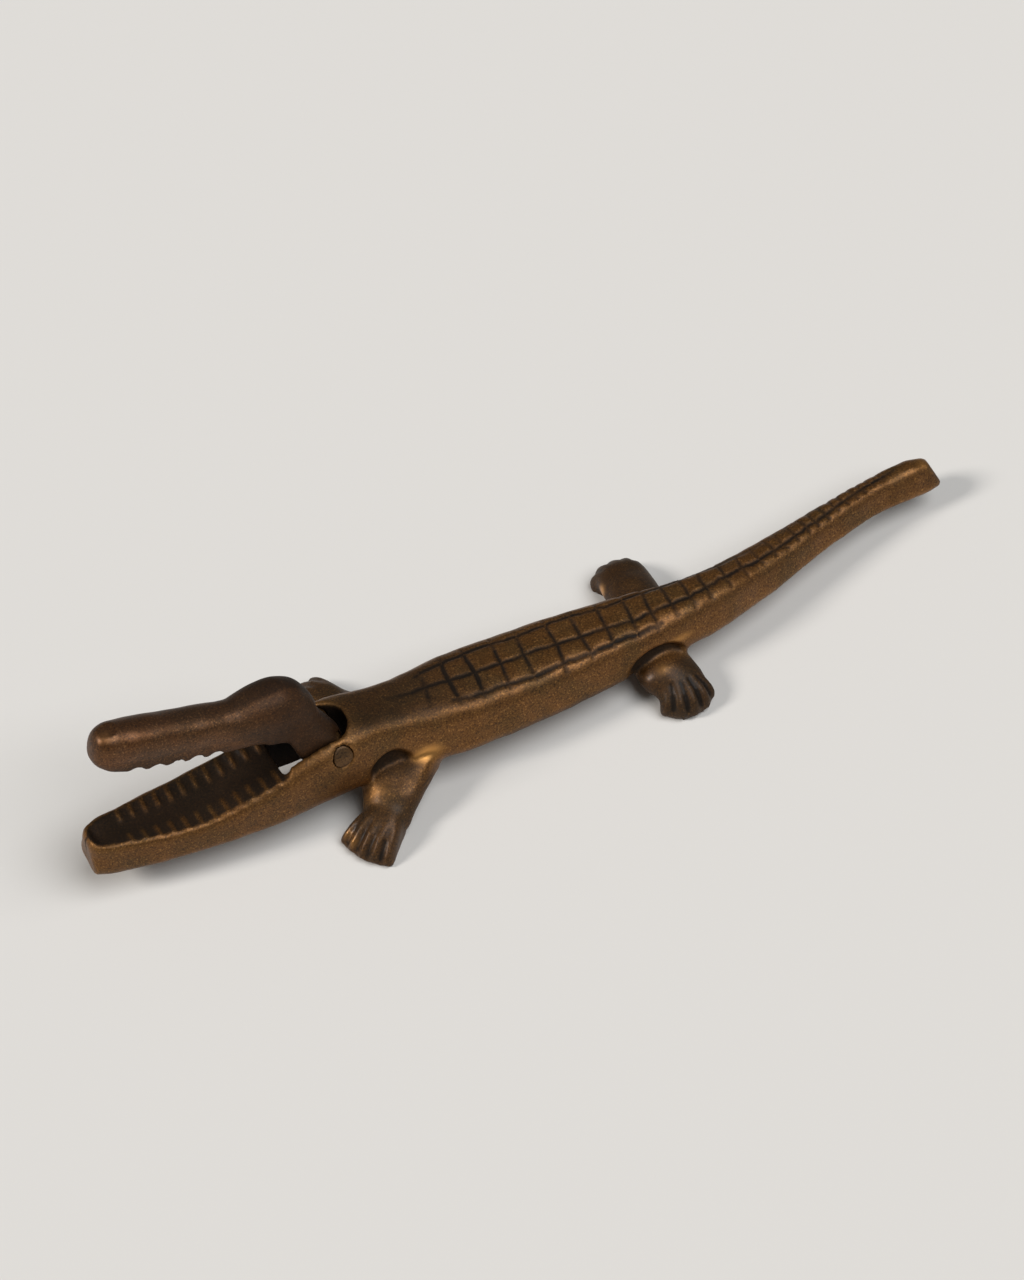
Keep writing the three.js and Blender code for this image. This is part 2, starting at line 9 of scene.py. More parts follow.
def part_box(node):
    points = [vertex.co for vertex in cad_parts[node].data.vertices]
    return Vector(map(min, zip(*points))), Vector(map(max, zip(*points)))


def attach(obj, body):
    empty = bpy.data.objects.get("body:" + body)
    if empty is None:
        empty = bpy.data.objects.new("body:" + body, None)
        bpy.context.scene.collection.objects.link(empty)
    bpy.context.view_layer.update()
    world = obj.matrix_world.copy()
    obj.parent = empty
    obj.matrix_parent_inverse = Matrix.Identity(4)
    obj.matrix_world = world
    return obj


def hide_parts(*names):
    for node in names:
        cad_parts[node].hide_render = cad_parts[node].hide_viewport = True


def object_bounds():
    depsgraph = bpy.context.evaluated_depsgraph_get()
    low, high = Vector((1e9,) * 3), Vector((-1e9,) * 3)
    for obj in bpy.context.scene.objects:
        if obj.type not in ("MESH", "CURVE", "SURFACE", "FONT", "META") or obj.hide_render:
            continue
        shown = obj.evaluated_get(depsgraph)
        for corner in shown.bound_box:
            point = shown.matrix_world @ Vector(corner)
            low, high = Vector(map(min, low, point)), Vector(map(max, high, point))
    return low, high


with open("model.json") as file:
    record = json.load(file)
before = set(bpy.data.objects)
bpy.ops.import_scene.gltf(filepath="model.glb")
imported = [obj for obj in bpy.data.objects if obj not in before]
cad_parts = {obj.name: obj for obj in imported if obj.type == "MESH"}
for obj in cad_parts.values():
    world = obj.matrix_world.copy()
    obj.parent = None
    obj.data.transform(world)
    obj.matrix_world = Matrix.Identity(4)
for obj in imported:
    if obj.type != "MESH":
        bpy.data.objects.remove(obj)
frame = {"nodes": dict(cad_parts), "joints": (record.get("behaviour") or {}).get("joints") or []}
solid_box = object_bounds()


# Body casting: lower jaw, hinge cheeks, trunk, legs and tail, poured in one piece in brass.
# The sand-cast skin is soft at every corner. The scale grid on the back and the creases
# between the toes were chased in afterwards with a blunt punch, and have filled with dark patina.
MM = 0.001
SPINE_Y = frame["joints"][0]["pos_m"][1] / MM
BODY_SKIN_GRAIN = 0.58


def even_skin(node, name, grain):
    """A copy of a casting with its corners softened into one even skin of small quads."""
    mesh = frame["nodes"][node].data.copy()
    mesh.materials.clear()
    merged = bmesh.new()
    merged.from_mesh(mesh)
    bmesh.ops.remove_doubles(merged, verts=merged.verts, dist=1e-6)
    merged.to_mesh(mesh)
    merged.free()
    piece = bpy.data.objects.new(name, mesh)
    bpy.context.scene.collection.objects.link(piece)
    reskin(piece, grain)
    return piece


def reskin(piece, grain):
    """Covers a piece with an even skin of quads of the given size."""
    skin = piece.modifiers.new("even skin", "REMESH")
    skin.mode = "VOXEL"
    skin.voxel_size = grain * MM
    skin.use_smooth_shade = True
    settle(piece)


def settle(piece):
    """Turns a piece and its modifiers into one plain mesh."""
    graph = bpy.context.evaluated_depsgraph_get()
    plain = bpy.data.meshes.new_from_object(piece.evaluated_get(graph))
    piece.modifiers.clear()
    piece.data = plain
    plain.name = piece.name


def points_of(piece):
    """The piece's points, in millimetres."""
    points = np.zeros(len(piece.data.vertices) * 3)
    piece.data.vertices.foreach_get("co", points)
    return points.reshape(-1, 3) / MM


def move_points(piece, points):
    """Puts the points back, never outside the box of the bare castings."""
    inside = np.clip(points * MM, np.array(solid_box[0]), np.array(solid_box[1]))
    piece.data.vertices.foreach_set("co", inside.ravel())
    piece.data.update()


def links_of(piece):
    """The pairs of points that an edge of the skin joins."""
    links = np.zeros(len(piece.data.edges) * 2, dtype=np.int64)
    piece.data.edges.foreach_get("vertices", links)
    return links.reshape(-1, 2)


def normals_of(piece):
    """Which way the skin faces at each point."""
    normals = np.zeros(len(piece.data.vertices) * 3)
    piece.data.vertices.foreach_get("normal", normals)
    return normals.reshape(-1, 3)


def neighbour_mean(values, links):
    """The mean of each point's neighbours, for one column or several."""
    count = len(values)
    columns = values.reshape(count, -1)
    degree = np.maximum(np.bincount(links.ravel(), minlength=count), 1)
    sums = [
        np.bincount(links[:, 0], column[links[:, 1]], count)
        + np.bincount(links[:, 1], column[links[:, 0]], count)
        for column in columns.T
    ]
    return (np.stack(sums, 1) / degree[:, None]).reshape(values.shape)


def softened(points, links, share, rounds, spring):
    """Evens out a skin; with a spring the form keeps its bulk, without one hollows fill in."""
    pull = 0.5 * share[:, None]
    push_back = 0.52 * share[:, None]
    for _ in range(rounds):
        points = points + pull * (neighbour_mean(points, links) - points)
        if spring:
            points = points - push_back * (neighbour_mean(points, links) - points)
    return points


def swollen(piece, points, rise):
    """The points of a piece, each moved out by its own rise."""
    return points + rise[:, None] * normals_of(piece)


def keep_mark(piece, name, values):
    """Leaves a mark from nothing to one on each point of a piece."""
    mesh = piece.data
    layer = mesh.attributes.get(name) or mesh.attributes.new(name, "FLOAT", "POINT")
    layer.data.foreach_set("value", np.clip(values, 0, 1).astype(np.float32))


def mark_of(piece, name):
    """The mark that was left on each point of a piece."""
    values = np.zeros(len(piece.data.vertices))
    piece.data.attributes[name].data.foreach_get("value", values)
    return values


def ramp(values, none, full):
    """Nothing at one value, one at another, and an even slope between them."""
    return np.clip((values - none) / (full - none), 0, 1)


def eased(share):
    """A share from nothing to one, made to start and end gently."""
    return share * share * (3 - 2 * share)


def near(points, centre, reach, edge=1):
    """One in the middle of a rounded region, falling gently to nothing over its edge."""
    away = np.linalg.norm((points - np.array(centre)) / np.array(reach), axis=1)
    return eased(ramp(away, 1, 1 - edge))


def uneven(points, seed, height):
    """The slow rise and fall of a skin poured in sand, from a few waves laid across each other."""
    wave_lengths = np.geomspace(5, 16, 14)
    usual_sum = 3
    chance = np.random.default_rng(seed)
    rise = np.zeros(len(points))
    for length in wave_lengths:
        way = chance.normal(size=3)
        way *= 2 * np.pi / length / np.linalg.norm(way)
        rise += np.sin(points @ way + chance.uniform(0, 2 * np.pi))
    return rise * height / usual_sum


def other_side(place):
    """The matching place on the animal's right side."""
    return (place[0], 2 * SPINE_Y - place[1], place[2])


# Hollows over the legs, where the flank arches up and the leg comes out from under it:
# middle of the arch along the body and in height, half its width, its rise, and its side.
HOLLOWS = (
    (-48.6, 13.6, 6.4, 5.7, -1), (-48.6, 13.6, 6.4, 5.7, 1),
    (26.5, 10.4, 9, 5.3, -1), (29.5, 10.4, 9, 5.3, 1),
)
# How deep they are, how far they go on below the middle, and how far out from the spine.
HOLLOW_DEPTH = 2
HOLLOW_FOOT = 2.5
HOLLOW_FARTHEST = 13


def under_arch(points, normals, hollow, edge):
    """One on the flank under an arch, falling to nothing at its border and on the leg."""
    middle, height, half_width, rise, side = hollow
    away = np.hypot((points[:, 0] - middle) / half_width, (points[:, 2] - height) / rise)
    on_flank = ramp(normals[:, 1] * side, 0.35, 0.75)
    on_flank *= points[:, 2] > height - HOLLOW_FOOT
    on_flank *= abs(points[:, 1] - SPINE_Y) < HOLLOW_FARTHEST
    return eased(ramp(away, 1, 1 - edge) * on_flank)


# Webs between the flank and the legs, where the skin is filled in: middle and reach.
WEBS = (
    ((-38, -14.2, 12.4), (9, 6, 6)), (other_side((-38, -14.2, 12.4)), (9, 6, 6)),
    ((37.5, -12.4, 10), (7, 5, 5)), (other_side((40.5, -12.4, 10)), (7, 5, 5)),
    ((-51, -20, 8), (7, 7, 5)), ((-49, 18, 8), (8, 8, 5)),
    ((31, -18, 6.5), (10, 6, 5)), ((35, 20, 5), (13, 13, 8)),
)
WEB_ROUNDS = 30
# Low swellings: middle, reach and rise. The hind legs have domes, the left one also a full thigh
# and foot, the far edge of the back is full, and a ledge lies on the web behind each front leg.
DOMES = (
    ((27.5, -14.8, 9.6), (7, 5, 4), 0.9), ((33.5, 15, 9.4), (7, 6, 4), 0.6),
    ((22.5, -14.5, 7), (5, 5, 5), 1), ((30.5, -21.5, 3.5), (10, 6, 5), 0.9),
    ((20, 6.5, 21), (50, 7, 7), 0.9),
    ((-39, -14.8, 12.6), (7, 4, 2.8), 1), (other_side((-39, -14.8, 12.6)), (7, 4, 2.8), 1),
)
# The low front of the snout stands forward: where that starts along the body and in height, how far
# on it is full, and by how much.
SNOUT_FRONT = (-117, 16)
SNOUT_FULL = (-123, 12)
SNOUT_FORWARD = 1.2
# The tail: the middle and reach of its waist, the run of its middle line in plan, the share by
# which the waist closes in on that line, how far its underside rises, and between which heights.
TAIL_WAIST = (88, 26)
TAIL_LINE = ((47, 64.6, 90.2, 108, 125), (0.4, 4.4, 10.5, 13.9, 14.2))
WAIST_NARROWING = 0.08
WAIST_RISE = 0.9
WAIST_UNDERSIDE = (11, 7)

body = even_skin("body_casting", "body_skin", BODY_SKIN_GRAIN)
points = points_of(body)
links = links_of(body)
points = softened(points, links, np.ones(len(points)), 3, True)
for centre, reach in WEBS:
    points = softened(points, links, near(points, centre, reach), WEB_ROUNDS, False)
for centre, reach, rise in DOMES:
    points = swollen(body, points, near(points, centre, reach) * rise)
normals = normals_of(body)
for hollow in HOLLOWS:
    points[:, 1] -= hollow[4] * HOLLOW_DEPTH * under_arch(points, normals, hollow, 0.3)
low_front = ramp(points[:, 0], SNOUT_FRONT[0], SNOUT_FULL[0])
low_front *= ramp(points[:, 2], SNOUT_FRONT[1], SNOUT_FULL[1])
points[:, 0] -= SNOUT_FORWARD * low_front
waist = eased(ramp(abs(points[:, 0] - TAIL_WAIST[0]), TAIL_WAIST[1], 0))
to_middle_line = np.interp(points[:, 0], *TAIL_LINE) + SPINE_Y - points[:, 1]
points[:, 1] += WAIST_NARROWING * waist * to_middle_line
points[:, 2] += WAIST_RISE * waist * ramp(points[:, 2], *WAIST_UNDERSIDE)
move_points(body, points)
reskin(body, BODY_SKIN_GRAIN)
points = points_of(body)
points = softened(points, links_of(body), np.ones(len(points)), 2, True)
points = swollen(body, points, uneven(points, 5, 0.06))
# Seats for the two pin ends: the skin dips around them, so that each end shows as a clean round.
PIN_SEAT_DEPTH = 0.45
PIN_SEAT_BORDER = 0.65
PIN_SEAT_SLOPE = 0.45
CHEEK_INNER = 7
seat_low, seat_high = (np.array(corner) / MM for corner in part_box("pivot_pin"))
seat_middle = (seat_low + seat_high) / 2
from_pin = np.hypot(points[:, 0] - seat_middle[0], points[:, 2] - seat_middle[2])
seat_edge = seat_high[0] - seat_middle[0] + PIN_SEAT_BORDER
seat = ramp(from_pin, seat_edge, seat_edge - PIN_SEAT_SLOPE)
seat *= abs(points[:, 1] - SPINE_Y) > CHEEK_INNER
points[:, 1] -= np.sign(points[:, 1] - SPINE_Y) * PIN_SEAT_DEPTH * seat
move_points(body, points)

# The mouth: half its width at stations along the lower jaw, how far the jaw bends to the side on
# its way to the snout, where the mouth ends at the back, and the height that its floor lies above.
MOUTH_STATIONS = (-124, -122.9, -120.2, -113.1, -98.4, -75)
MOUTH_HALF_WIDTHS = (0.3, 2.9, 4.2, 5.6, 7.7, 8.3)
LOWER_JAW_BEND = ((-125, -60), (1, 0))
MOUTH_BACK = -74
MOUTH_FLOOR = 14
# The rim ends a little further forward, and lies higher.
RIM_BACK = -76
RIM_LOWEST = 16


def mouth_places(points):
    """How far each point is inside the mouth, and its place from the middle to the rim."""
    aside = abs(points[:, 1] - SPINE_Y - np.interp(points[:, 0], *LOWER_JAW_BEND))
    across = aside / np.interp(points[:, 0], MOUTH_STATIONS, MOUTH_HALF_WIDTHS)
    inside = ramp(across, 1.02, 0.96) * ramp(points[:, 2], MOUTH_FLOOR, MOUTH_FLOOR + 2)
    return inside * ramp(points[:, 0], MOUTH_BACK, MOUTH_BACK - 1.5), across


def rim_places(points, across, middle, reach):
    """One on the rim of the mouth, falling to nothing on both sides of it."""
    on_rim = ramp(abs(across - middle), reach, 0)
    return on_rim * (points[:, 0] < RIM_BACK) * (points[:, 2] > RIM_LOWEST)


# Ribs across the sloping sides of the mouth, which grip the nut and die out below the rim.
RIB_START = -114.5
RIB_PITCH = 3.4
RIB_RISE = 0.4
points = points_of(body)
in_mouth, across_mouth = mouth_places(points)
rib = np.clip(np.cos((points[:, 0] - RIB_START) * 2 * np.pi / RIB_PITCH), 0, 1) ** 2
rib *= ramp(across_mouth, 0.3, 0.5) * in_mouth * (points[:, 0] > RIB_START - RIB_PITCH / 2)
points[:, 2] += RIB_RISE * rib * ramp(across_mouth, 0.88, 0.63)
on_rim = rim_places(points, across_mouth, 1.08, 0.16)
points = softened(points, links_of(body), on_rim, 8, False)
move_points(body, points)
keep_mark(body, "rib", rib)

# Long lines and cross lines of the scale grid, in plan, measured from the spine.
LONG_LINES = (
    # along the spine and on to the near side of the tail row
    ((-44, 0.6, 0.2), (-28, 0.3, 0.7), (-18.5, -0.4, 1), (-4.7, -0.2, 1), (10, -0.9, 1),
     (22.8, -1.9, 1), (33.4, -1.7, 1), (40.3, -1.5, 1), (46.9, -0.3, 1), (58.4, 2.1, 1),
     (64.5, 3.2, 1), (72.4, 5.3, 1), (80.7, 7.4, 1), (88.8, 9.7, 1), (97, 12.1, 1),
     (106, 14.2, 1), (112, 15.2, 0.6)),
    # near border
    ((-29, -6.2, 0.3), (-20.7, -7, 0.75), (-13.8, -7, 0.9), (-7.1, -7.1, 0.9), (1.5, -6.6, 0.9),
     (8.3, -6.6, 0.9), (16, -6.2, 1), (23.8, -6.1, 1), (30, -5.7, 0.7)),
    # far border and on to the far side of the tail row
    ((-34.4, 5.2, 0.5), (-26.9, 6, 0.8), (-20, 6.7, 1), (-11.9, 6.6, 1), (-5.5, 6.1, 1),
     (3.9, 6.5, 1), (10.6, 6.1, 1), (16.9, 5.5, 1), (24.2, 5.5, 1), (30.4, 5.3, 1),
     (41, 5.4, 1), (52.2, 5.6, 0.8), (64, 7.4, 0.5), (71.9, 9, 0.4), (79.7, 10.8, 0.3)),
)
CROSS_LINES = (
    # far end x and y, near end x and y, how deeply it is cut
    (-40.6, 4.5, -42.8, -3.8, 0.15), (-32.8, 5.6, -34.9, -5.2, 0.35),
    (-26, 7.4, -27.7, -7, 0.8), (-19.7, 8, -21.2, -7.7, 1), (-12, 8, -14.1, -7.6, 1),
    (-5, 7.4, -7, -7.9, 1), (3.3, 7.8, 1.2, -8.6, 1), (10.3, 7.4, 9, -7.3, 1),
    (17.6, 6.9, 15.9, -6.9, 1), (24.6, 6.9, 22.4, -6.5, 1), (30.4, 6.8, 28.9, -6.2, 1),
    (35.5, 6.6, 34.8, -5.3, 0.9), (40.6, 6.9, 40.2, -4.6, 0.9), (46.4, 6.6, 45.6, -3.6, 0.9),
    (52, 6.4, 52.1, -2, 0.9), (58.3, 7, 58.1, -0.2, 0.9), (63.6, 7.6, 63.9, 1.5, 0.9),
    (67.9, 8.4, 68.6, 2.9, 1), (72, 9.4, 72.8, 3.8, 1), (76, 10.3, 76.6, 5.2, 1),
    (79.7, 11.2, 80.6, 6, 1), (83.4, 12.2, 84.2, 7, 1), (86.8, 13, 87.8, 8, 1),
    (90.2, 13.9, 91.2, 9.1, 1), (93.6, 14.7, 94.6, 10.2, 1), (97, 15.4, 98, 11, 1),
    (100, 16, 101.2, 11.9, 1), (103, 16.5, 104.2, 12.7, 0.9), (106.2, 16.8, 107.4, 13.2, 0.7),
)


def drawn_lines(name, runs):
    """Open lines on the ground plane, each stretch with the depth of its cut."""
    drawing = bmesh.new()
    depth = drawing.edges.layers.float.new("cut")
    for run in runs:
        corners = [drawing.verts.new((x * MM, (y + SPINE_Y) * MM, 0)) for x, y, cut in run]
        for index in range(len(run) - 1):
            stretch = drawing.edges.new((corners[index], corners[index + 1]))
            stretch[depth] = (run[index][2] + run[index + 1][2]) / 2
    mesh = bpy.data.meshes.new(name)
    drawing.to_mesh(mesh)
    drawing.free()
    lines = bpy.data.objects.new(name, mesh)
    bpy.context.scene.collection.objects.link(lines)
    return lines


def wandering(run, seed, sway):
    """A hand-cut line: the run in short stretches that stray a little to each side."""
    stretch_length = 1.6
    shallowest, deepest = 0.75, 1.1
    chance = np.random.default_rng(seed)
    stations = np.array(run, float)
    lengths = np.linalg.norm(np.diff(stations[:, :2], axis=0), axis=1)
    along = np.concatenate([[0], np.cumsum(lengths)])
    steps = np.linspace(0, along[-1], max(3, int(along[-1] / stretch_length)))
    drawn = np.stack([np.interp(steps, along, stations[:, k]) for k in range(3)], 1)
    drawn[:, :2] += chance.normal(0, sway, (len(steps), 2))
    drawn[:, 2] *= chance.uniform(shallowest, deepest, len(steps))
    return [tuple(corner) for corner in drawn]


# How far the lines stray, how far a cross line bows, and the share of its cut left at each end.
LONG_SWAY = 0.16
CROSS_SWAY = 0.12
CROSS_BOW = 0.5
FAR_END_CUT = 0.35
NEAR_END_CUT = 0.45
grid_runs = [wandering(run, 11 + index, LONG_SWAY) for index, run in enumerate(LONG_LINES)]
for index, (far_x, far_y, near_x, near_y, cut) in enumerate(CROSS_LINES):
    middle_x = (far_x + near_x) / 2 + CROSS_BOW * np.sin(index * 2.3)
    run = (
        (far_x, far_y, cut * FAR_END_CUT),
        ((far_x + middle_x) / 2, far_y * 0.75 + near_y * 0.25, cut),
        (middle_x, (far_y + near_y) / 2, cut),
        ((near_x + middle_x) / 2, far_y * 0.25 + near_y * 0.75, cut),
        (near_x, near_y, cut * NEAR_END_CUT),
    )
    grid_runs.append(wandering(run, 40 + index, CROSS_SWAY))
scale_lines = drawn_lines("scale_lines", grid_runs)

# Creases between the toes: heel, half width of the heel, the bearing, spread and reach of the toes,
# where the creases start, and how deep they are.
FEET = (
    (-51.8, -16.1, 4.4, 209, 35, 13.4, 0.5, 0.55),
    (-48.7, 19.4, 4.4, 124, 35, 13.4, 0.6, 0.2),
    (30.8, -14, 5, 270, 64, 8.5, 0.3, 0.75),
    (35.1, 22.2, 5, 86, 64, 8.5, 0.6, 0.3),
)
TOE_PARTINGS = (-0.6, -0.2, 0.2, 0.6)
CREASE_OVERRUN = 1.06
CREASE_SWAY = 0.1
toe_runs = []
for heel_x, heel_y, heel_half, bearing, spread, reach, start, deep in FEET:
    ahead = np.radians(bearing)
    for fan in TOE_PARTINGS:
        way = np.radians(bearing + spread * fan)
        root = np.array((-np.sin(ahead), np.cos(ahead))) * heel_half * fan
        tip = np.array((np.cos(way), np.sin(way))) * reach * CREASE_OVERRUN
        run = []
        for share, cut in ((start, 0.3), ((start + 1) / 2, 1), (0.85, 1), (1, 0.9)):
            spot = root * (1 - share) + tip * share + (heel_x, heel_y)
            run.append((spot[0], spot[1], cut * deep))
        toe_runs.append(wandering(run, 90 + len(toe_runs), CREASE_SWAY))
toe_lines = drawn_lines("toe_lines", toe_runs)


def finer_where(piece, wanted):
    """Splits the quads of a skin once more where fine chasing follows."""
    cut = bmesh.new()
    cut.from_mesh(piece.data)
    edges = [edge for edge in cut.edges if all(wanted[corner.index] for corner in edge.verts)]
    bmesh.ops.subdivide_edges(cut, edges=edges, cuts=1, use_grid_fill=True)
    cut.to_mesh(piece.data)
    cut.free()


def fill(tree, socket, value):
    """Joins a socket to another one, or gives it a plain value."""
    if isinstance(value, bpy.types.NodeSocket):
        tree.links.new(value, socket)
    else:
        socket.default_value = value


def combined(tree, operation, first, second, clamped):
    """Two values taken together by one operation."""
    node = tree.nodes.new("ShaderNodeMath")
    node.operation = operation
    node.use_clamp = clamped
    fill(tree, node.inputs[0], first)
    fill(tree, node.inputs[1], second)
    return node.outputs[0]


def passage(tree, value, low, high, at_low, at_high):
    """A smooth passage between two values while a third one goes from low to high."""
    node = tree.nodes.new("ShaderNodeMapRange")
    node.interpolation_type = "SMOOTHSTEP"
    sockets = ("Value", "From Min", "From Max", "To Min", "To Max")
    for name, item in zip(sockets, (value, low, high, at_low, at_high)):
        fill(tree, node.inputs[name], item)
    return node.outputs["Result"]


def chasing_tree():
    """Sinks drawn lines into the upward faces of a casting and marks where the cuts are."""
    fade_height = 1 * MM
    tree = bpy.data.node_groups.new("chased lines", "GeometryNodeTree")
    tree.is_modifier = True
    face = tree.interface
    face.new_socket("Casting", in_out="INPUT", socket_type="NodeSocketGeometry")
    face.new_socket("Lines", in_out="INPUT", socket_type="NodeSocketObject")
    for name in ("Cut Width", "Cut Depth", "Pillow Width", "Pillow Depth", "Lowest", "Highest"):
        face.new_socket(name, in_out="INPUT", socket_type="NodeSocketFloat")
    face.new_socket("Finish", in_out="INPUT", socket_type="NodeSocketMaterial")
    face.new_socket("Casting", in_out="OUTPUT", socket_type="NodeSocketGeometry")
    nodes = tree.nodes
    link = tree.links.new

    def math(operation, first, second):
        return combined(tree, operation, first, second, False)

    def fading(value, low, high, at_low, at_high):
        return passage(tree, value, low, high, at_low, at_high)

    def mark_read(name):
        node = nodes.new("GeometryNodeInputNamedAttribute")
        node.data_type = "FLOAT"
        node.inputs["Name"].default_value = name
        return node.outputs["Attribute"]

    given = nodes.new("NodeGroupInput").outputs
    lines = nodes.new("GeometryNodeObjectInfo")
    link(given["Lines"], lines.inputs["Object"])
    place = nodes.new("GeometryNodeInputPosition").outputs[0]
    plan = nodes.new("ShaderNodeVectorMath")
    plan.operation = "MULTIPLY"
    plan.inputs[1].default_value = (1, 1, 0)
    link(place, plan.inputs[0])
    reach = nodes.new("GeometryNodeProximity")
    reach.target_element = "EDGES"
    link(lines.outputs["Geometry"], reach.inputs[0])
    link(plan.outputs[0], reach.inputs["Sample Position"])
    closest = nodes.new("GeometryNodeSampleNearest")
    closest.domain = "EDGE"
    link(lines.outputs["Geometry"], closest.inputs["Geometry"])
    link(plan.outputs[0], closest.inputs["Sample Position"])
    depth = nodes.new("GeometryNodeSampleIndex")
    depth.data_type = "FLOAT"
    depth.domain = "EDGE"
    link(lines.outputs["Geometry"], depth.inputs["Geometry"])
    link(mark_read("cut"), depth.inputs["Value"])
    link(closest.outputs["Index"], depth.inputs["Index"])
    normal = nodes.new("GeometryNodeInputNormal").outputs[0]
    tilt = nodes.new("ShaderNodeSeparateXYZ")
    link(normal, tilt.inputs[0])
    height = nodes.new("ShaderNodeSeparateXYZ")
    link(place, height.inputs[0])
    upward = fading(tilt.outputs["Z"], 0.1, 0.45, 0.0, 1.0)
    full_from = math("ADD", given["Lowest"], fade_height)
    full_to = math("SUBTRACT", given["Highest"], fade_height)
    above = fading(height.outputs["Z"], given["Lowest"], full_from, 0.0, 1.0)
    below = fading(height.outputs["Z"], full_to, given["Highest"], 1.0, 0.0)
    share = math("MULTIPLY", upward, above)
    share = math("MULTIPLY", share, math("MULTIPLY", below, depth.outputs[0]))
    away = reach.outputs["Distance"]
    groove = math("MULTIPLY", fading(away, 0.0, given["Cut Width"], 1.0, 0.0), share)
    pillow = math("MULTIPLY", fading(away, 0.0, given["Pillow Width"], 1.0, 0.0), share)
    groove_sink = math("MULTIPLY", groove, given["Cut Depth"])
    pillow_sink = math("MULTIPLY", pillow, given["Pillow Depth"])
    inward = nodes.new("ShaderNodeVectorMath")
    inward.operation = "SCALE"
    link(normal, inward.inputs[0])
    link(math("MULTIPLY", math("ADD", groove_sink, pillow_sink), -1.0), inward.inputs["Scale"])
    kept = nodes.new("GeometryNodeCaptureAttribute")
    kept.capture_items.new("FLOAT", "Groove")
    link(given["Casting"], kept.inputs["Geometry"])
    link(math("MAXIMUM", groove, mark_read("groove")), kept.inputs["Groove"])
    sunk = nodes.new("GeometryNodeSetPosition")
    link(kept.outputs["Geometry"], sunk.inputs["Geometry"])
    link(inward.outputs[0], sunk.inputs["Offset"])
    mark = nodes.new("GeometryNodeStoreNamedAttribute")
    mark.data_type = "FLOAT"
    mark.domain = "POINT"
    mark.inputs["Name"].default_value = "groove"
    link(sunk.outputs["Geometry"], mark.inputs["Geometry"])
    link(kept.outputs["Groove"], mark.inputs["Value"])
    whole = nodes.new("GeometryNodeRealizeInstances")
    link(mark.outputs["Geometry"], whole.inputs["Geometry"])
    coat = nodes.new("GeometryNodeSetMaterial")
    link(whole.outputs["Geometry"], coat.inputs["Geometry"])
    link(given["Finish"], coat.inputs["Material"])
    link(coat.outputs["Geometry"], nodes.new("NodeGroupOutput").inputs["Casting"])
    return tree


def chase(piece, tree, values):
    """Runs the chasing on a piece, with its values set by their socket names."""
    step = piece.modifiers.new("chasing", "NODES")
    step.node_group = tree
    for item in tree.interface.items_tree:
        if item.item_type == "SOCKET" and item.in_out == "INPUT" and item.name in values:
            step[item.identifier] = values[item.name]
    settle(piece)


